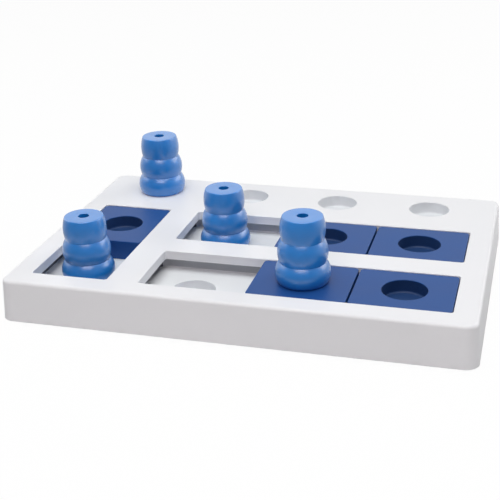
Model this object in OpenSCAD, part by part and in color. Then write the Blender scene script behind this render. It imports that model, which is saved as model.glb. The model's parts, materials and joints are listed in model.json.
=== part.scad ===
// Sliding-tile treat board for dogs: a two-shell board with three slots,
// five cupped tiles that slide in them and four lift-off hollow cones.
// Millimetres, +Z up. The origin is under the middle of the board, on the surface it stands on.

/* [Board] */
// Width of the plain border in front of, left of and right of the slots
border = 23; // [20:0.5:40]
// Depth of the strip behind the slots, which carries the row of round pits
strip_d = 89; // [76:1:120]
// Height of the two shells without the feet
board_h = 36; // [34:0.5:50]
// Inward lean of the side walls for each millimetre of height
side_lean = 0.064; // [0.02:0.002:0.08]
// Radius of the board's corners seen from above
board_corner = 12; // [9:0.5:16]
// Rounding of the board's top edge
board_edge = 3; // [1.5:0.25:5]
// Thickness of the cover's side walls
side_wall = 2.6; // [2:0.1:3]
// Thickness of the cover's top plate
plate_t = 2.8; // [2:0.1:3.6]

/* [Slots] */
// Width across each slot
slot_w = 67.5; // [60:0.5:74]
// Length of the two slots on the right
right_slot_len = 258.5; // [248:0.5:300]
// Width of the bar between the left slot and the right slots
bar_x = 28; // [27.5:0.5:40]
// Width of the bar between the two right slots
bar_y = 28; // [27.5:0.5:40]
// Corner radius of the slots
slot_corner = 2.5; // [2:0.25:5]
// Rounding of the slots' top rim
slot_rim = 0.6; // [0.4:0.1:1.4]
// Depth of the lip that hangs round each slot, from the board's top
lip_depth = 8; // [6:0.25:9]
// Thickness of that lip
lip_t = 2.2; // [1.6:0.1:3]
// Reach of the track under the lip, outwards from the slot's edge
track_reach = 8; // [6:0.25:8]
// Thickness of the wall that closes each track
track_wall = 2; // [1.2:0.1:2]
// Depth of the slots' floor below the board's top
floor_drop = 18.5; // [17:0.25:22]
// Thickness of the floor
floor_t = 2.2; // [1.8:0.1:3]

/* [Pits] */
// Radius of every round pit, in the strip and in the slots' floor
pit_r = 18.75; // [16:0.25:20]
// Depth of the pits
pit_depth = 11.5; // [9:0.25:12]
// Distance of the last column of pits from the board's right edge
pit_end_inset = 66; // [62:0.5:71]
// Distance of the strip's first pit, which carries a cone, from the board's left edge
first_pit_inset = 63.5; // [60:0.5:71]
// Distance of the left slot's pits from the ends of that slot
left_pit_inset = 39.5; // [34:0.5:46]
// Distance of the strip's pits from the board's back edge
strip_pit_inset = 39; // [30:0.5:42]
// Wall thickness round and under the pits
pit_wall = 2; // [1.4:0.1:3]
// Rounding of the pits' rim
pit_rim = 0.6; // [0.3:0.1:1]

/* [Tiles] */
// Length of a tile along its slot
tile_len = 82.3; // [74:0.1:84]
// Gap between the two tiles parked side by side in a right slot
tile_pair_gap = 1.6; // [1:0.1:5]
// Gap between a parked tile and the end of its slot
tile_end_gap = 0.7; // [0.4:0.1:2]
// Gap between a tile and each side of its slot
tile_side_gap = 0.5; // [0.3:0.05:1]
// Drop of the tiles' top below the board's top
tile_sink = 0.5; // [0:0.1:2]
// Running gap between a tile and the floor
slide_gap = 0.3; // [0.2:0.05:0.6]
// Corner radius of the tiles
tile_corner = 3.5; // [1.5:0.25:5]
// Rounding of the tiles' top edge
tile_edge = 0.8; // [0.4:0.1:1.4]
// Wall thickness of the tiles
tile_wall = 2.2; // [1.6:0.1:3]
// Gap between a tile's runner and the side of its track
runner_gap = 1; // [0.5:0.1:3]
// Height of the runners
runner_h = 8; // [5:0.25:8.5]
// Length by which each runner stops short of the tile's end
runner_inset = 4; // [2:0.5:12]
// Depth of the cup in a tile
cup_depth = 11.5; // [8:0.25:13]

/* [Cones] */
// Height of a cone's lower ring
lower_ring_h = 18.5; // [15:0.25:24]
// Height of the middle ring
middle_ring_h = 19.25; // [15:0.25:24]
// Height of the upper ring
upper_ring_h = 20; // [15:0.25:24]
// Radius of the cone's base
cone_base_r = 20.4; // [20.2:0.1:23]
// Radius of the lower crease
crease_low_r = 19.4; // [18.2:0.1:20.2]
// Radius of the upper crease
crease_high_r = 17.6; // [17:0.1:18]
// Radius of the flat top
cone_top_r = 16.7; // [15.5:0.1:17]
// Outward swell of the lower ring
lower_swell = 3.2; // [1:0.1:4]
// Swell of the middle ring
middle_swell = 2.5; // [1:0.1:4]
// Swell of the upper ring
upper_swell = 1.6; // [1:0.1:3]
// Least wall thickness of a cone
cone_wall = 2.1; // [1.4:0.1:2.4]
// Radius of the scent hole in the top
scent_hole_r = 4.7; // [2.5:0.1:6]
// Length of the plug collar that drops into a pit or cup
collar_len = 8; // [4:0.25:8]
// Gap between the collar and the pit
collar_gap = 1; // [0.5:0.1:2]
// Wall thickness of the collar
collar_wall = 2; // [1.4:0.1:3]

/* [Feet and screws] */
// Radius of the soft feet
foot_r = 9; // [6:0.25:10]
// Height that the feet lift the shells
foot_stand = 2; // [1:0.1:4]
// Depth of each foot's socket
foot_socket = 2.5; // [1.5:0.1:4]
// Distance of the feet from the board's edges
foot_inset = 24; // [22:0.5:30]
// Wall thickness of the foot's post
post_wall = 2; // [1.4:0.1:3]
// Gap between a foot and its socket's wall
foot_gap = 0.05; // [0.02:0.01:0.1]
// Radius of the screws' shank
screw_r = 1.25; // [1:0.05:1.4]
// Length of the screws' shank
screw_len = 14; // [9:0.5:15]
// Radius of the screws' head
head_r = 2.9; // [2.4:0.1:3]
// Height of the screws' head
head_h = 2.2; // [1.6:0.1:3]
// Radius of the cover's screw bosses
boss_r = 3.4; // [2.6:0.1:3.5]
// Gap between a screw and the boss's pilot hole
pilot_gap = 0.05; // [0.02:0.01:0.1]
// Thickness of the seat under each screw head
seat_t = 4.2; // [3:0.1:6]
// Height of the ribs under the tray
rib_h = 5; // [3:0.5:8]
// Thickness of the ribs
rib_t = 1.6; // [1.2:0.1:2.4]
// Wall thickness of the tray's rim
rim_wall = 2; // [1.4:0.1:2.4]
// Gap between the tray's rim and the cover
rim_gap = 0.3; // [0.2:0.05:0.5]

/* [Hidden] */

// Curve quality, and the quality of small edge roundings
$fn = 72;
edge_fn = 24;
// Overrun of every cutting shape past the face it opens
over = 1;

// Board outline and its levels
board_w = 2 * border + slot_w + bar_x + right_slot_len;
board_d = border + 2 * slot_w + bar_y + strip_d;
z_base = foot_stand;
z_top = z_base + board_h;
z_plate = z_top - plate_t;
z_lip = z_top - lip_depth;
z_floor = z_top - floor_drop;

// Slots: centre x, centre y, length along X, length along Y
left_slot_len = 2 * slot_w + bar_y;
left_x = -board_w / 2 + border + slot_w / 2;
left_y = -board_d / 2 + border + left_slot_len / 2;
right_x = board_w / 2 - border - right_slot_len / 2;
lower_y = -board_d / 2 + border + slot_w / 2;
upper_y = lower_y + slot_w + bar_y;
slots = [
    [left_x, left_y, slot_w, left_slot_len],
    [right_x, lower_y, right_slot_len, slot_w],
    [right_x, upper_y, right_slot_len, slot_w]
];

// Pits: one column position serves the strip and both right slots
pit_pitch = (board_w - 2 * pit_end_inset) / 3;
function pit_x(i) = (i - 1.5) * pit_pitch;
first_pit_x = first_pit_inset - board_w / 2;
strip_y = board_d / 2 - strip_pit_inset;
left_pit_step = left_slot_len / 2 - left_pit_inset;
strip_pits = concat([[first_pit_x, strip_y]], [for (i = [1:3]) [pit_x(i), strip_y]]);
right_pits = [for (i = [1:3], y = [lower_y, upper_y]) [pit_x(i), y]];
left_pits = [for (side = [-1, 1]) [left_x, left_y + side * left_pit_step]];
floor_pits = concat(left_pits, right_pits);
pit_foot_round = 2;

// Tiles
tile_w = slot_w - 2 * tile_side_gap;
tile_z = z_floor + slide_gap;
tile_top = z_top - tile_sink;
tile_h = tile_top - tile_z;
runner_w = track_reach - runner_gap + tile_side_gap;
end_x = right_x + right_slot_len / 2 - tile_end_gap - tile_len / 2;
inner_x = end_x - tile_len - tile_pair_gap;
left_tile_y = left_y + left_slot_len / 2 - tile_end_gap - tile_len / 2;

// Cones
cone_h = lower_ring_h + middle_ring_h + upper_ring_h;
creases = [
    [cone_base_r, 0],
    [crease_low_r, lower_ring_h],
    [crease_high_r, lower_ring_h + middle_ring_h],
    [cone_top_r, cone_h]
];
ring_swells = [lower_swell, middle_swell, upper_swell];
collar_r = pit_r - collar_gap;
collar_lead = 0.8;

// Feet: the name's ending, and the side that each one stands on
feet = [["front_left", -1, -1], ["front_right", 1, -1], ["back_left", -1, 1], ["back_right", 1, 1]];
foot_x = board_w / 2 - foot_inset;
foot_y = board_d / 2 - foot_inset;
foot_places = [for (foot = feet) [foot[1] * foot_x, foot[2] * foot_y]];
foot_edge = 0.8;

// Screws stand between the cover's walls and the tracks, in the bars and in the strip
boss_gap = 0.2;
screw_inset = border - track_reach - track_wall - boss_r - boss_gap;
screw_x = board_w / 2 - screw_inset;
screw_y = board_d / 2 - screw_inset;
bar_mid_x = left_x + slot_w / 2 + bar_x / 2;
bar_mid_y = lower_y + slot_w / 2 + bar_y / 2;
screw_places = [
    [-screw_x, -screw_y],
    [screw_x, -screw_y],
    [-screw_x, screw_y],
    [screw_x, screw_y],
    [bar_mid_x, -screw_y],
    [bar_mid_x, bar_mid_y],
    [(pit_x(2) + pit_x(3)) / 2, bar_mid_y],
    [(pit_x(1) + pit_x(2)) / 2, strip_y]
];
z_seat = z_floor - seat_t;
z_rib = z_floor - floor_t - rib_h;
shank_gap = 0.35;
head_gap = 0.3;
head_post_wall = 1.4;
head_dome = 1;
drive_w = 0.9;
drive_len = 3.4;
drive_depth = 1.1;

// Tray rim, inside the cover's walls and leaning with them
tray_step = side_wall + rim_gap;
tray_edge = 0.5;
cover_inner_edge = 1.5;
tile_inner_corner = 1;
runner_corner = 1.5;

// Sweeps a child outline round a rounded rectangle.
// The outline has the axis of the corners at x = 0, and its wall line at x = corner.
module sweep_round(w, d, corner) {
    for (turn = [0, 180]) {
        rotate([0, 0, turn])
            translate([w / 2 - corner, 0, 0])
                rotate([90, 0, 0])
                    linear_extrude(d - 2 * corner, center = true)
                        children();
        rotate([0, 0, turn + 90])
            translate([d / 2 - corner, 0, 0])
                rotate([90, 0, 0])
                    linear_extrude(w - 2 * corner, center = true)
                        children();
    }
    for (quarter = [0:3]) {
        side_x = quarter == 0 || quarter == 3 ? 1 : -1;
        side_y = quarter < 2 ? 1 : -1;
        translate([side_x * (w / 2 - corner), side_y * (d / 2 - corner), 0])
            rotate([0, 0, 90 * quarter])
                rotate_extrude(angle = 90)
                    children();
    }
}

// Outline of a block's leaning wall whose top edge is rounded, from the axis of its corners outwards
module wall_outline(h, corner, edge, lean, below) {
    angle = atan(lean);
    edge_x = corner - (edge + (h - edge) * sin(angle)) / cos(angle);
    edge_z = h - edge;
    polygon([
        [0, -below],
        [corner + lean * below, -below],
        [edge_x + edge * cos(angle), edge_z + edge * sin(angle)],
        [edge_x, h],
        [0, h]
    ]);
    translate([edge_x, edge_z])
        circle(edge, $fn = edge_fn);
}

// Block with leaning sides, round corners and a rounded top edge
module soft_block(w, d, h, corner, edge, lean = 0, below = 0) {
    sweep_round(w, d, corner)
        wall_outline(h, corner, edge, lean, below);
    translate([corner - w / 2, corner - d / 2, -below])
        cube([w - 2 * corner, d - 2 * corner, h + below]);
}

// Upright prism with round corners, from z_low to z_high
module round_prism(w, d, corner, z_low, z_high) {
    translate([0, 0, z_low])
        linear_extrude(z_high - z_low) {
            square([w - 2 * corner, d], center = true);
            square([w, d - 2 * corner], center = true);
            for (sx = [-1, 1], sy = [-1, 1])
                translate([sx * (w / 2 - corner), sy * (d / 2 - corner)])
                    circle(corner, $fn = edge_fn);
        }
}

// Outline of the waste that rounds a rim over outwards, below a top face at y = 0
module rim_waste(rim) {
    difference() {
        translate([-rim / 2, -rim])
            square([1.5 * rim, rim + over]);
        translate([rim, -rim])
            circle(rim, $fn = edge_fn);
    }
}

// Waste of a round pit with a rounded rim and a rounded foot, below z = 0
module pit_waste(r, depth) {
    rotate_extrude() {
        translate([0, -depth + pit_foot_round])
            square([r, depth - pit_foot_round + over]);
        translate([0, -depth])
            square([r - pit_foot_round, pit_foot_round + over]);
        translate([r - pit_foot_round, -depth + pit_foot_round])
            circle(pit_foot_round, $fn = edge_fn);
        translate([r, 0])
            rim_waste(pit_rim);
    }
}

// Round cup wall that hangs from a face at z = 0
module pit_wall_block(r, depth) {
    translate([0, 0, -depth - pit_wall])
        cylinder(r = r + pit_wall, h = depth + pit_wall);
}

module at(places, z) {
    for (place = places)
        translate([place[0], place[1], z])
            children();
}

// Upper shell: leaning walls, lips round the slots, pits in the strip, screw bosses
module top_cover() color("white") {
    difference() {
        union() {
            translate([0, 0, z_base])
                difference() {
                    soft_block(board_w, board_d, board_h, board_corner, board_edge, side_lean);
                    soft_block(
                        board_w - 2 * side_wall,
                        board_d - 2 * side_wall,
                        board_h - plate_t,
                        board_corner - side_wall,
                        cover_inner_edge,
                        side_lean,
                        over
                    );
                }
            for (slot = slots)
                translate([slot[0], slot[1], 0])
                    round_prism(
                        slot[2] + 2 * lip_t,
                        slot[3] + 2 * lip_t,
                        slot_corner + lip_t,
                        z_lip,
                        z_plate + plate_t / 2
                    );
            at(strip_pits, z_top - plate_t / 2)
                pit_wall_block(pit_r, pit_depth - plate_t / 2);
            at(screw_places, z_floor)
                cylinder(r = boss_r, h = z_plate + plate_t / 2 - z_floor);
        }
        for (slot = slots)
            translate([slot[0], slot[1], 0]) {
                round_prism(slot[2], slot[3], slot_corner, z_lip - over, z_top + over);
                translate([0, 0, z_top])
                    sweep_round(slot[2], slot[3], slot_corner)
                        translate([slot_corner, 0])
                            rim_waste(slot_rim);
            }
        at(strip_pits, z_top)
            pit_waste(pit_r, pit_depth);
        at(screw_places, z_floor - over)
            cylinder(r = screw_r + pilot_gap, h = z_seat + screw_len + 2 * over - z_floor, $fn = edge_fn);
    }
}

// Wall that closes one slot's track, between the floor and the cover's plate
module track_ring(slot) {
    inner = 2 * track_reach;
    outer = inner + 2 * track_wall;
    corner = slot_corner + track_reach;
    z_low = z_floor - floor_t / 2;
    translate([slot[0], slot[1], 0])
        difference() {
            round_prism(slot[2] + outer, slot[3] + outer, corner + track_wall, z_low, z_plate);
            round_prism(slot[2] + inner, slot[3] + inner, corner, z_floor - floor_t, z_plate + over);
        }
}

// Ribs under the floor, through the pits and the screw posts
module tray_ribs() {
    reach_x = board_w - 2 * (tray_step + rim_wall);
    reach_y = board_d - 2 * (tray_step + rim_wall);
    rise = rib_h + floor_t / 2;
    for (y = [lower_y, bar_mid_y, upper_y, strip_y])
        translate([-reach_x / 2, y - rib_t / 2, z_rib])
            cube([reach_x, rib_t, rise]);
    for (x = [left_x, bar_mid_x, (pit_x(1) + pit_x(2)) / 2, (pit_x(2) + pit_x(3)) / 2])
        translate([x - rib_t / 2, -reach_y / 2, z_rib])
            cube([rib_t, reach_y, rise]);
}

// Lower shell: floor with pits, track walls, leaning rim, ribs, posts for screws and feet
module base_tray() color("white") {
    head_bore_r = head_r + head_gap;
    difference() {
        union() {
            translate([0, 0, z_base])
                difference() {
                    soft_block(
                        board_w - 2 * tray_step,
                        board_d - 2 * tray_step,
                        z_floor - z_base,
                        board_corner - tray_step,
                        tray_edge,
                        side_lean
                    );
                    soft_block(
                        board_w - 2 * (tray_step + rim_wall),
                        board_d - 2 * (tray_step + rim_wall),
                        z_floor - z_base - floor_t,
                        board_corner - tray_step - rim_wall,
                        tray_edge,
                        side_lean,
                        over
                    );
                }
            tray_ribs();
            for (slot = slots)
                track_ring(slot);
            at(floor_pits, z_floor - floor_t / 2)
                pit_wall_block(pit_r, pit_depth - floor_t / 2);
            at(screw_places, z_rib)
                cylinder(r = head_bore_r + head_post_wall, h = z_floor - floor_t / 2 - z_rib);
            at(foot_places, z_base)
                cylinder(r = foot_r + foot_gap + post_wall, h = z_floor - floor_t / 2 - z_base);
        }
        at(floor_pits, z_floor)
            pit_waste(pit_r, pit_depth);
        at(screw_places, z_rib - over)
            cylinder(r = head_bore_r, h = z_seat - z_rib + over);
        at(screw_places, z_seat - over)
            cylinder(r = screw_r + shank_gap, h = seat_t + 2 * over, $fn = edge_fn);
        at(foot_places, z_base - over)
            cylinder(r = foot_r + foot_gap, h = foot_socket + over);
    }
}

// Sliding tile along X, standing on z = 0: hollow below, with a cup and two runners
module tile() color("midnightblue") {
    runner_len = tile_len - 2 * runner_inset;
    difference() {
        union() {
            soft_block(tile_len, tile_w, tile_h, tile_corner, tile_edge);
            round_prism(runner_len, tile_w + 2 * runner_w, runner_corner, 0, runner_h);
        }
        difference() {
            union() {
                round_prism(
                    tile_len - 2 * tile_wall,
                    tile_w - 2 * tile_wall,
                    tile_inner_corner,
                    -over,
                    tile_h - tile_wall
                );
                round_prism(
                    runner_len - 2 * tile_wall,
                    tile_w + 2 * (runner_w - tile_wall),
                    tile_inner_corner,
                    -over,
                    runner_h - tile_wall
                );
            }
            translate([0, 0, tile_h])
                pit_wall_block(pit_r, cup_depth);
        }
        translate([0, 0, tile_h])
            pit_waste(pit_r, cup_depth);
    }
}

module tile_left() translate([left_x, left_tile_y, tile_z]) rotate([0, 0, 90]) tile();
module tile_upper_inner() translate([inner_x, upper_y, tile_z]) tile();
module tile_upper_end() translate([end_x, upper_y, tile_z]) tile();
module tile_lower_inner() translate([inner_x, lower_y, tile_z]) tile();
module tile_lower_end() translate([end_x, lower_y, tile_z]) tile();

// One bulging ring of a cone: the arc from low to high that swells outwards
module ring_outline(low, high, swell) {
    chord = high - low;
    half = norm(chord) / 2;
    arc_r = (half * half + swell * swell) / (2 * swell);
    outwards = [chord[1], -chord[0]] / norm(chord);
    centre = (low + high) / 2 - outwards * (arc_r - swell);
    intersection() {
        translate(centre)
            circle(arc_r);
        translate([0, low[1]])
            square([low[0] + swell + over, high[1] - low[1]]);
    }
}

// Hollow cone, standing on z = 0, with a plug collar below and a scent hole above
module cone() color("steelblue") {
    core_low_r = collar_r - collar_wall;
    core_high_r = cone_top_r - cone_wall;
    rotate_extrude()
        difference() {
            union() {
                polygon(concat([[0, 0]], creases, [[0, cone_h]]));
                for (i = [0:2])
                    ring_outline(creases[i], creases[i + 1], ring_swells[i]);
                polygon([
                    [0, over],
                    [0, -collar_len],
                    [collar_r - collar_lead, -collar_len],
                    [collar_r, -collar_len + collar_lead],
                    [collar_r, over]
                ]);
            }
            polygon([
                [-over, -collar_len - over],
                [core_low_r, -collar_len - over],
                [core_low_r, 0],
                [core_high_r, cone_h - cone_wall],
                [-over, cone_h - cone_wall]
            ]);
            translate([-over, 0])
                square([scent_hole_r + over, cone_h + over]);
        }
}

module cone_frame() translate([first_pit_x, strip_y, z_top]) cone();
module cone_left() translate([left_x, left_y - left_pit_step, z_floor]) cone();
module cone_upper() translate([pit_x(1), upper_y, z_floor]) cone();
module cone_lower() translate([inner_x, lower_y, tile_top]) cone();

// Soft pad, half in its socket under a foot post
module foot(place) color("dimgray")
    translate([place[0], place[1], 0])
        rotate_extrude() {
            translate([0, foot_edge])
                square([foot_r, z_base + foot_socket - foot_edge]);
            square([foot_r - foot_edge, z_base]);
            translate([foot_r - foot_edge, foot_edge])
                circle(foot_edge, $fn = edge_fn);
        }

// Self-tapping screw, head down, with a cross drive
module screw(place) color("silver")
    translate([place[0], place[1], z_seat])
        difference() {
            union() {
                cylinder(r = screw_r, h = screw_len, $fn = edge_fn);
                rotate_extrude() {
                    translate([0, -head_h + head_dome])
                        square([head_r, head_h - head_dome]);
                    translate([0, -head_h])
                        square([head_r - head_dome, head_dome + head_dome / 2]);
                    translate([head_r - head_dome, -head_h + head_dome])
                        circle(head_dome, $fn = edge_fn);
                }
            }
            for (turn = [0, 90])
                rotate([0, 0, turn])
                    translate([-drive_len / 2, -drive_w / 2, -head_h - over])
                        cube([drive_len, drive_w, drive_depth + over]);
        }

top_cover();
base_tray();
tile_left();
tile_upper_inner();
tile_upper_end();
tile_lower_inner();
tile_lower_end();
cone_frame();
cone_left();
cone_upper();
cone_lower();
for (i = [0 : len(feet) - 1])
    foot(foot_places[i]);
for (i = [0 : len(screw_places) - 1])
    screw(screw_places[i]);
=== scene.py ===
import bpy
import json
import math
from mathutils import Matrix, Vector

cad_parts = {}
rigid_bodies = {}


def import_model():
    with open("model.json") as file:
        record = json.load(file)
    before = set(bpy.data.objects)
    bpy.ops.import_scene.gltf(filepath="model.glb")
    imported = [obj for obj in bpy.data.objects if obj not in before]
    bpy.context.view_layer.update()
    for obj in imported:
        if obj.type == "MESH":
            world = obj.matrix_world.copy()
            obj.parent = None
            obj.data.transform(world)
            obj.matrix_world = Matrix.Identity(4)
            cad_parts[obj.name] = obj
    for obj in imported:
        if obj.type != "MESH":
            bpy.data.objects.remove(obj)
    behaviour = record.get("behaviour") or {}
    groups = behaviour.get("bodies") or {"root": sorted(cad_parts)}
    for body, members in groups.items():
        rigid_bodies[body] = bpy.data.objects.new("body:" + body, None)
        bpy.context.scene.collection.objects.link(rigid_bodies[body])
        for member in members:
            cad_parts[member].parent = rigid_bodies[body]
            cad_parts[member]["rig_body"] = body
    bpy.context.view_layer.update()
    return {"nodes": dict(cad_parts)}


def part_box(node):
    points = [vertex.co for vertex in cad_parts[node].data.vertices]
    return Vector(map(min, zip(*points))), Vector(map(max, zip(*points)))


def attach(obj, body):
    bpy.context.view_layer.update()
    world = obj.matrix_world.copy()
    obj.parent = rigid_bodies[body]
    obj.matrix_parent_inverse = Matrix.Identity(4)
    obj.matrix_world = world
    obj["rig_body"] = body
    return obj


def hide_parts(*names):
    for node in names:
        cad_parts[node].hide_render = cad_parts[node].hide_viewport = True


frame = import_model()
nodes = frame["nodes"]
millimetre = 0.001
hair = 1e-5  # mm; points that are nearer to each other count as one
print("treat board: frame loaded,", len(nodes), "nodes")


class Wire:  # a socket that adds, multiplies and so on like a number, one Math node for each sign
    def __init__(self, graph, socket):
        self.graph = graph
        self.socket = socket

    def maths(self, operation, first, second):
        return self.graph.node("ShaderNodeMath", {"operation": operation}, {0: first, 1: second})

    def __add__(self, other): return self.maths("ADD", self, other)
    def __radd__(self, other): return self.maths("ADD", other, self)
    def __sub__(self, other): return self.maths("SUBTRACT", self, other)
    def __rsub__(self, other): return self.maths("SUBTRACT", other, self)
    def __mul__(self, other): return self.maths("MULTIPLY", self, other)
    def __rmul__(self, other): return self.maths("MULTIPLY", other, self)
    def __pow__(self, other): return self.maths("POWER", self, other)
    def __gt__(self, other): return self.maths("GREATER_THAN", self, other)
    def __lt__(self, other): return self.maths("LESS_THAN", self, other)


class Graph:  # the nodes of one material, or of the world
    def __init__(self, tree):
        self.tree = tree

    def feed(self, socket, value):  # a number, a colour or a wire into a socket
        if isinstance(value, Wire):
            self.tree.links.new(value.socket, socket)
        else:
            socket.default_value = value

    def node(self, kind, settings=None, sockets=None, output=0):
        made = self.tree.nodes.new(kind)
        for setting, value in (settings or {}).items():
            setattr(made, setting, value)
        for key, value in (sockets or {}).items():
            self.feed(made.inputs[key], value)
        return Wire(self, made.outputs[output]) if len(made.outputs) else made

    def place(self):
        return self.node("ShaderNodeTexCoord", output="Object")

    def part(self, vector, axis):  # one number of a vector: 0 for X, 1 for Y, 2 for Z
        return self.node("ShaderNodeSeparateXYZ", sockets={0: vector}, output=axis)

    def noise(self, scale, detail=3.0, roughness=0.5):
        sockets = {"Vector": self.place(), "Scale": scale, "Detail": detail, "Roughness": roughness}
        return self.node("ShaderNodeTexNoise", sockets=sockets)

    def window(self, value, low, high):  # 0 below low, 1 above high
        sockets = {"Value": value, "From Min": low, "From Max": high}
        return self.node("ShaderNodeMapRange", {"clamp": True}, sockets)

    def blend(self, share, first, second):  # two colours
        return self.node("ShaderNodeMix", {"data_type": "RGBA"}, {0: share, 6: first, 7: second}, 2)

    def bump(self, height, strength, distance, below=None):
        sockets = {"Height": height, "Strength": strength, "Distance": distance}
        if below is not None:
            sockets["Normal"] = below
        return self.node("ShaderNodeBump", sockets=sockets)

    def inPocket(self, centre, radius, top, fade=1.0):  # 1 in a round pocket, 0 outside it; all in mm
        across, along, height = [self.part(self.place(), axis) * (1 / millimetre) for axis in range(3)]
        reach = ((across - centre[0]) ** 2 + (along - centre[1]) ** 2) ** 0.5
        return (reach < radius) * (1 - self.window(height, top - fade, top))

    def seenOrMirrored(self):  # 1 for what the camera, a gloss or a clear thing sees
        rays = [self.node("ShaderNodeLightPath", output=name)
                for name in ("Is Camera Ray", "Is Glossy Ray", "Is Transmission Ray")]
        return rays[0] + rays[1] + rays[2]

    def whiteness(self, place, stage):  # 1 for the camera, while a gloss sees less towards -Y
        seen = self.node("ShaderNodeLightPath", output="Is Camera Ray")
        bright = self.window(self.part(place, 1), stage["dimFrom"], stage["whiteFrom"])
        return seen + (1 - seen) * (stage["dim"] + (1 - stage["dim"]) * bright)


class Finish(Graph):  # one material with its Principled shader
    def __init__(self, name, constants):
        self.material = bpy.data.materials.new(name)
        self.material.use_nodes = True
        super().__init__(self.material.node_tree)
        self.shader = self.tree.nodes["Principled BSDF"]
        for socketName, value in constants.items():
            self.shader.inputs[socketName].default_value = value

    def clouded(self, cloud, colour, cloudColour, low=0.35, high=0.7):  # a slow drift of tone
        return self.blend(self.window(cloud, low, high), colour, cloudColour)

    def into(self, **wires):  # names of shader sockets with their spaces left out
        for name, wire in wires.items():
            spaced = "".join(" " + c if c.isupper() else c for c in name).strip()
            self.feed(self.shader.inputs[spaced], wire)
        return self.material


board = {
    "ior": 1.46, "roughness": 0.38, "cloudRoughness": 0.1, "grainRoughness": 0.08,
    "colour": (0.853, 0.856, 0.876, 1), "cloudColour": (0.84, 0.845, 0.866, 1), "cloudSize": 18,
    "grainSize": 2400, "grainDepth": 0.00004, "grainStrength": 0.25,
    "peelSize": 140, "peelDepth": 0.00003, "peelStrength": 0.2,
    "trayColour": (0.825, 0.845, 0.862, 1), "trayCloudColour": (0.81, 0.832, 0.85, 1),
    "trackShadeColour": (0.5, 0.51, 0.54, 1),  # painted shade on the walls of the tracks, darker than the board
    "trackSideShadeColour": (0.08, 0.08, 0.1, 1),  # painted shade, nearly black, on the walls of the tracks that face along X
    "trackFoot": 19.6, "trackFade": 0.6, "trayTop": 19.3, "stripTop": 37.8,  # heights in mm
    # the pit colour is painted shade, darker and cooler than the board
    "pitShadeColour": (0.765, 0.785, 0.81, 1), "pitRadius": 19.0,
    "stripPits": ((-136.5, 98.5), (-44.67, 98.5), (44.67, 98.5), (134.0, 98.5)),
}


def boardPlastic(node):
    finish = Finish("plastic_" + node, {"IOR": board["ior"], "Roughness": board["roughness"]})
    grain = finish.noise(board["grainSize"], roughness=0.6)
    cloud = finish.noise(board["cloudSize"])
    peel = finish.noise(board["peelSize"], detail=2.0)
    if node == "base_tray":
        height = finish.part(finish.place(), 2) * (1 / millimetre)
        facing = finish.part(finish.node("ShaderNodeTexCoord", output="Normal"), 0)
        tint = finish.clouded(cloud, board["trayColour"], board["trayCloudColour"])
        # painted shade on the walls of the tracks above their foot, nearly black where they face along
        # X
        wall = finish.blend(facing * facing > 0.5, board["trackShadeColour"], board["trackSideShadeColour"])
        paintedTrackShade = finish.window(height, board["trackFoot"], board["trackFoot"] + board["trackFade"])
        tint = finish.blend(paintedTrackShade, tint, wall)
        # painted shade on all of the tray below its top, which holds the pits
        paintedPitShade = height < board["trayTop"]
    else:
        tint = finish.clouded(cloud, board["colour"], board["cloudColour"])
        paintedPitShade = sum(finish.inPocket(pit, board["pitRadius"], board["stripTop"])
                   for pit in board["stripPits"])
    # the pits get painted shade, a darker and cooler colour
    tint = finish.blend(paintedPitShade, tint, board["pitShadeColour"])
    rough = (board["roughness"] + (cloud - 0.5) * board["cloudRoughness"]
             + (grain - 0.5) * board["grainRoughness"])
    normal = finish.bump(peel, board["peelStrength"], board["peelDepth"])
    normal = finish.bump(grain, board["grainStrength"], board["grainDepth"], normal)
    return finish.into(BaseColor=tint, Roughness=rough, Normal=normal)


tile = {
    "ior": 1.37, "roughness": 0.44, "cloudRoughness": 0.1, "grainRoughness": 0.08,
    "colour": (0.009, 0.064, 0.245, 1), "cloudColour": (0.011, 0.070, 0.26, 1), "cloudSize": 30,
    "grainSize": 2200, "grainDepth": 0.00004, "grainStrength": 0.2,
    # the cup colour is painted shade, a darker navy inside the cups
    "cupShadeColour": (0.013, 0.045, 0.145, 1), "cupRoughness": 0.48, "cupRadius": 19.0, "top": 37.3,
    "cups": {"tile_left": (-143.25, 6.65),
             "tile_upper_inner": (51.25, 14.75), "tile_upper_end": (135.15, 14.75),
             "tile_lower_inner": (51.25, -80.75), "tile_lower_end": (135.15, -80.75)},  # mm
}


def tilePlastic(node):
    finish = Finish("plastic_" + node, {"IOR": tile["ior"], "Roughness": tile["roughness"]})
    grain = finish.noise(tile["grainSize"], roughness=0.6)
    cloud = finish.noise(tile["cloudSize"])
    cup = finish.inPocket(tile["cups"][node], tile["cupRadius"], tile["top"])
    tint = finish.clouded(cloud, tile["colour"], tile["cloudColour"])
    # painted shade inside the cup
    tint = finish.blend(cup, tint, tile["cupShadeColour"])
    rough = (tile["roughness"] + (cloud - 0.5) * tile["cloudRoughness"]
             + (grain - 0.5) * tile["grainRoughness"]
             + cup * (tile["cupRoughness"] - tile["roughness"]))
    normal = finish.bump(grain, tile["grainStrength"], tile["grainDepth"])
    return finish.into(BaseColor=tint, Roughness=rough, Normal=normal)


cone = {
    "ior": 1.5, "roughness": 0.38, "cloudRoughness": 0.08, "coatIor": 1.6, "coatRoughness": 0.27,
    "colour": (0.003, 0.195, 0.61, 1), "cloudColour": (0.004, 0.205, 0.635, 1), "cloudSize": 40,
    "grainSize": 1800, "grainDepth": 0.00002, "grainStrength": 0.15,
}


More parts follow.
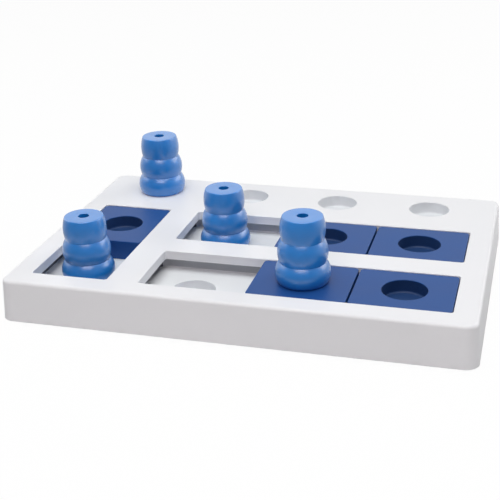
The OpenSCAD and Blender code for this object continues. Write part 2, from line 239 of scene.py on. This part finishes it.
def conePlastic():
    finish = Finish("conePlastic", {"IOR": cone["ior"], "Roughness": cone["roughness"],
                                    "Coat Weight": 1.0, "Coat IOR": cone["coatIor"],
                                    "Coat Roughness": cone["coatRoughness"]})
    grain = finish.noise(cone["grainSize"], roughness=0.6)
    cloud = finish.noise(cone["cloudSize"])
    tint = finish.clouded(cloud, cone["colour"], cone["cloudColour"])
    rough = cone["roughness"] + (cloud - 0.5) * cone["cloudRoughness"]
    normal = finish.bump(grain, cone["grainStrength"], cone["grainDepth"])
    return finish.into(BaseColor=tint, Roughness=rough, Normal=normal)


foot = {"ior": 1.5, "roughness": 0.7, "grainSize": 300, "grainDepth": 0.0001, "grainStrength": 0.3,
        "colour": (0.03, 0.03, 0.032, 1), "paleColour": (0.05, 0.05, 0.052, 1)}


def footRubber():
    finish = Finish("footRubber", {"IOR": foot["ior"], "Roughness": foot["roughness"]})
    grain = finish.noise(foot["grainSize"], detail=4.0)
    tint = finish.blend(grain, foot["colour"], foot["paleColour"])
    normal = finish.bump(grain, foot["grainStrength"], foot["grainDepth"])
    return finish.into(BaseColor=tint, Normal=normal)


screw = {"ior": 2.5, "roughness": 0.35, "grainRoughness": 0.2, "grainSize": 900,
         "colour": (0.55, 0.55, 0.56, 1), "paleColour": (0.68, 0.68, 0.69, 1)}


def screwSteel():
    finish = Finish("screwSteel", {"IOR": screw["ior"], "Metallic": 1.0,
                                   "Roughness": screw["roughness"]})
    grain = finish.noise(screw["grainSize"])
    tint = finish.blend(grain, screw["colour"], screw["paleColour"])
    rough = screw["roughness"] + (grain - 0.5) * screw["grainRoughness"]
    return finish.into(BaseColor=tint, Roughness=rough)


finishes = {"cone": conePlastic(), "foot": footRubber(), "cover": screwSteel()}  # first word of a name
finishes.update({node: boardPlastic(node) for node in ("top_cover", "base_tray")})
finishes.update({node: tilePlastic(node) for node in tile["cups"]})


def finishOf(name):
    return finishes[name] if name in finishes else finishes[name.split("_")[0]]


for name, piece in nodes.items():
    piece.data.materials.clear()
    piece.data.materials.append(finishOf(name))
print("treat board: finishes on")


def cutBack(points, distance):  # a line of points with that length taken off its end
    points = list(points)
    while len(points) > 2 and (points[-1] - points[-2]).length <= distance:
        distance -= (points[-1] - points[-2]).length
        points.pop()
    step = points[-2] - points[-1]
    most = 0.49 * step.length  # so that two eases on one step don't meet
    points[-1] = points[-1] + step.normalized() * min(distance, most)
    return points


def eased(stretches):  # a closed outline of stretches, each with the ease of the corner it ends in
    lines = [[Vector(point) for point in points] for points, ease in stretches]
    for i, (points, ease) in enumerate(stretches):
        if ease:
            after = (i + 1) % len(lines)
            corner = lines[i][-1]
            lines[i] = cutBack(lines[i], ease)
            lines[after] = cutBack(lines[after][::-1], ease)[::-1]
            start, end = lines[i][-1], lines[after][0]
            for share in (0.2, 0.4, 0.6, 0.8):
                rest = 1 - share
                lines[i].append(rest ** 2 * start + 2 * share * rest * corner + share ** 2 * end)
    outline = []
    for point in (point for line in lines for point in line):
        if not outline or (point - outline[-1]).length > hair:
            outline.append(point)
    return outline if (outline[-1] - outline[0]).length > hair else outline[:-1]


def swelling(low, high, swell, steps=18):  # the arc from low to high that swells outwards
    low, high = Vector(low), Vector(high)
    chord = high - low
    outwards = Vector((chord.y, -chord.x)).normalized()
    radius = (chord.length ** 2 / 4 + swell ** 2) / (2 * swell)
    centre = (low + high) / 2 - outwards * (radius - swell)
    half = math.asin(chord.length / 2 / radius)
    middle = math.atan2(outwards.y, outwards.x)
    turns = [middle + half * (2 * i / steps - 1) for i in range(steps + 1)]
    return [centre + radius * Vector((math.cos(turn), math.sin(turn))) for turn in turns]


def turned(name, outline, closed, centre, sides=128):  # an outline of (radius, height) in mm, turned
    points, rows, faces = [], [], []
    for radius, height in outline:
        if radius < hair:
            rows.append([len(points)] * sides)
            points.append((0, 0, height * millimetre))
            continue
        rows.append([len(points) + i for i in range(sides)])
        for i in range(sides):
            turn = 2 * math.pi * i / sides
            ring = (radius * math.cos(turn), radius * math.sin(turn), height)
            points.append(tuple(value * millimetre for value in ring))
    pairs = list(zip(rows, rows[1:])) + ([(rows[-1], rows[0])] if closed else [])
    for lower, upper in pairs:
        for i in range(sides):
            after = (i + 1) % sides
            corners = (lower[i], lower[after], upper[after], upper[i])
            faces.append(list(dict.fromkeys(corners)))
    mesh = bpy.data.meshes.new(name)
    mesh.from_pydata(points, [], faces)
    mesh.transform(Matrix.Translation(centre))
    return finished(name, mesh)


def finished(name, mesh, sharpAngle=32):
    mesh.polygons.foreach_set("use_smooth", [True] * len(mesh.polygons))
    mesh.set_sharp_from_angle(angle=math.radians(sharpAngle))
    piece = bpy.data.objects.new(name, mesh)
    bpy.context.scene.collection.objects.link(piece)
    return piece


def seatOf(node, lift=0.0):  # the middle of a node's underside, raised by lift in mm
    low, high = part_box(node)
    return Vector(((low.x + high.x) / 2, (low.y + high.y) / 2, low.z + lift * millimetre))


def standFor(node, piece):
    piece.data.materials.append(finishOf(node))
    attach(piece, nodes[node]["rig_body"])
    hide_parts(node)


coneForm = {  # mm
    "creases": ((20.4, 0), (19.4, 18.5), (17.6, 37.75), (16.7, 57.75)),  # radius and height
    "swells": (3.2, 2.5, 1.6), "wall": 2.1, "holeRadius": 4.7, "holeDepth": 5.5, "holeWall": 1.3,
    "collarRadius": 17.75, "collarLength": 8.0, "collarLead": 0.8, "collarWall": 2.0,
    "baseEase": 1.2, "topEase": 1.0, "holeEase": 0.5,
}


def coneOutline():
    form = coneForm
    creases = form["creases"]
    topRadius, height = creases[-1]
    inside = form["collarRadius"] - form["collarWall"]
    ceiling = height - form["wall"]
    tubeEnd = height - form["holeDepth"]
    tubeRadius = form["holeRadius"] + form["holeWall"]
    collar = [(inside, -form["collarLength"]),
              (form["collarRadius"] - form["collarLead"], -form["collarLength"]),
              (form["collarRadius"], -form["collarLength"] + form["collarLead"]),
              (form["collarRadius"], 0)]
    rings = [swelling(low, high, swell)
             for low, high, swell in zip(creases, creases[1:], form["swells"])]
    return eased([
        (collar, 0),
        ([collar[-1], creases[0]], form["baseEase"]),
        (rings[0], 0),
        (rings[1], 0),
        (rings[2], form["topEase"]),
        ([creases[-1], (form["holeRadius"], height)], form["holeEase"]),
        ([(form["holeRadius"], height), (form["holeRadius"], tubeEnd)], 0),
        ([(form["holeRadius"], tubeEnd), (tubeRadius, tubeEnd)], 0),
        ([(tubeRadius, tubeEnd), (tubeRadius, ceiling)], 0),
        ([(tubeRadius, ceiling), (topRadius - form["wall"], ceiling)], 0),
        ([(topRadius - form["wall"], ceiling), (inside, 0)], 0),
    ])


def addCone(node):
    seat = seatOf(node, coneForm["collarLength"])
    standFor(node, turned(node + "_ringed", coneOutline(), True, seat))


for node in ("cone_frame", "cone_left", "cone_upper", "cone_lower"):
    addCone(node)
print("treat board: cones turned")


footForm = {"edge": 0.8, "grooves": (3.2, 5.2, 7.2), "grooveWidth": 0.9, "grooveDepth": 0.5,
            "grooveSlope": 0.2, "sides": 64}  # mm; each groove by its radius


def addFoot(node):
    form = footForm
    low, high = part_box(node)
    radius = (high.x - low.x) / 2 / millimetre
    height = (high.z - low.z) / millimetre
    side = [(radius - form["edge"], 0), (radius, form["edge"]), (radius, height), (0, height)]
    under = [(0, 0)]
    for groove in form["grooves"]:
        inner, outer = groove - form["grooveWidth"] / 2, groove + form["grooveWidth"] / 2
        depth, slope = form["grooveDepth"], form["grooveSlope"]
        under += [(inner, 0), (inner + slope, depth), (outer - slope, depth), (outer, 0)]
    piece = turned(node + "_ribbed", under + side, False, seatOf(node), form["sides"])
    standFor(node, piece)


for node in ("foot_front_left", "foot_front_right", "foot_back_left", "foot_back_right"):
    addFoot(node)
print("treat board: feet turned")


view = {"place": (0.2272018, -0.8360051, 0.4048715), "yaw": -0.2693, "pitch": 0.4138, "roll": -0.0255,
        "focal": 1039.27, "centre": (264.33, 251.30), "frame": 500.0,  # pixels of the frame
        "sensor": 36, "clip": (0.02, 50)}


def addCamera():
    lens = bpy.data.cameras.new("camera")
    camera = bpy.data.objects.new("camera", lens)
    bpy.context.scene.collection.objects.link(camera)
    yaw, pitch, roll = view["yaw"], view["pitch"], view["roll"]
    ahead = Vector((math.sin(yaw) * math.cos(pitch), math.cos(yaw) * math.cos(pitch), -math.sin(pitch)))
    right = Vector((math.cos(yaw), -math.sin(yaw), 0))
    above = right.cross(ahead)
    sideways = math.cos(roll) * right + math.sin(roll) * above
    upwards = -math.sin(roll) * right + math.cos(roll) * above
    turn = Matrix((sideways, upwards, -ahead)).transposed().to_4x4()
    camera.matrix_world = Matrix.Translation(view["place"]) @ turn
    lens.sensor_width = view["sensor"]
    lens.lens = view["focal"] / view["frame"] * lens.sensor_width
    lens.shift_x = (view["frame"] / 2 - view["centre"][0]) / view["frame"]
    lens.shift_y = (view["centre"][1] - view["frame"] / 2) / view["frame"]
    lens.clip_start, lens.clip_end = view["clip"]
    bpy.context.scene.camera = camera


addCamera()

white = (1, 1, 1, 1)
room = {"light": 0.03, "lightColour": (0.96, 0.98, 1.0, 1),
        "dim": 0.3, "dimFrom": -0.6, "whiteFrom": 0.3}  # by the way that a ray looks, along Y


def addWorld():
    world = bpy.data.worlds.new("studioRoom")
    bpy.context.scene.world = world
    world.use_nodes = True
    graph = Graph(world.node_tree)
    graph.tree.nodes.clear()
    strength = graph.whiteness(graph.node("ShaderNodeTexCoord", output="Generated"), room)
    lit = graph.node("ShaderNodeBackground",
                     sockets={"Color": room["lightColour"], "Strength": room["light"]})
    plain = graph.node("ShaderNodeBackground", sockets={"Color": white, "Strength": strength})
    mixed = graph.node("ShaderNodeMixShader", sockets={0: graph.seenOrMirrored(), 1: lit, 2: plain})
    graph.node("ShaderNodeOutputWorld", sockets={"Surface": mixed})


addWorld()

aim = Vector((0, 0, 0.03))  # every softbox faces the middle of the board
softboxes = {
    "frontSoftbox": {"place": (0.08, -0.80, 0.92), "size": (0.8, 0.38),
                     "power": 4.3, "colour": (1.0, 0.9, 0.91)},
    "overheadSoftbox": {"place": (0.0, -0.12, 1.3), "size": (1.4, 0.9),
                        "power": 12.4, "colour": (0.965, 1.0, 0.995)},
    "leftSoftbox": {"place": (-1.05, 0.25, 0.6), "size": (1.1, 0.5),
                    "power": 2.6, "colour": (1.0, 0.97, 0.97)},
    "rightSoftbox": {"place": (0.95, 0.72, 0.58), "size": (1.1, 0.5),
                     "power": 4.9, "colour": (1.0, 0.98, 0.985)},
}


def addSoftbox(name, box):
    light = bpy.data.lights.new(name, "AREA")
    light.shape = "RECTANGLE"
    light.size, light.size_y = box["size"]
    light.energy = box["power"]
    light.color = box["colour"]
    lamp = bpy.data.objects.new(name, light)
    bpy.context.scene.collection.objects.link(lamp)
    lamp.location = box["place"]
    lamp.rotation_mode = "QUATERNION"
    lamp.rotation_quaternion = (aim - Vector(box["place"])).to_track_quat("-Z", "Y")


for name, box in softboxes.items():
    addSoftbox(name, box)

ground = {"half": 3.0, "colour": (0.9, 0.9, 0.9, 1), "glow": 0.97,
          "dim": 0.25, "dimFrom": -0.3, "whiteFrom": 0.5}  # by place along Y, in metres


def addFloor():
    mesh = bpy.data.meshes.new("floor")
    half = ground["half"]
    corners = [(-half, -half, 0), (half, -half, 0), (half, half, 0), (-half, half, 0)]
    mesh.from_pydata(corners, [], [(0, 1, 2, 3)])
    floor = bpy.data.objects.new("floor", mesh)
    bpy.context.scene.collection.objects.link(floor)
    finish = Finish("floorWhite", {"Base Color": ground["colour"], "Roughness": 1.0,
                                   "Specular IOR Level": 0.0})
    shaded = Wire(finish, finish.shader.outputs[0])
    strength = finish.whiteness(finish.place(), ground)
    glow = finish.node("ShaderNodeEmission", sockets={"Color": white, "Strength": strength})
    share = finish.seenOrMirrored() * ground["glow"]  # the rest of the floor keeps the shadow
    mixed = finish.node("ShaderNodeMixShader", sockets={0: share, 1: shaded, 2: glow})
    finish.feed(finish.tree.nodes["Material Output"].inputs["Surface"], mixed)
    mesh.materials.append(finish.material)


addFloor()
bpy.context.scene.view_settings.view_transform = "Standard"
print("treat board: camera, lamps and floor")
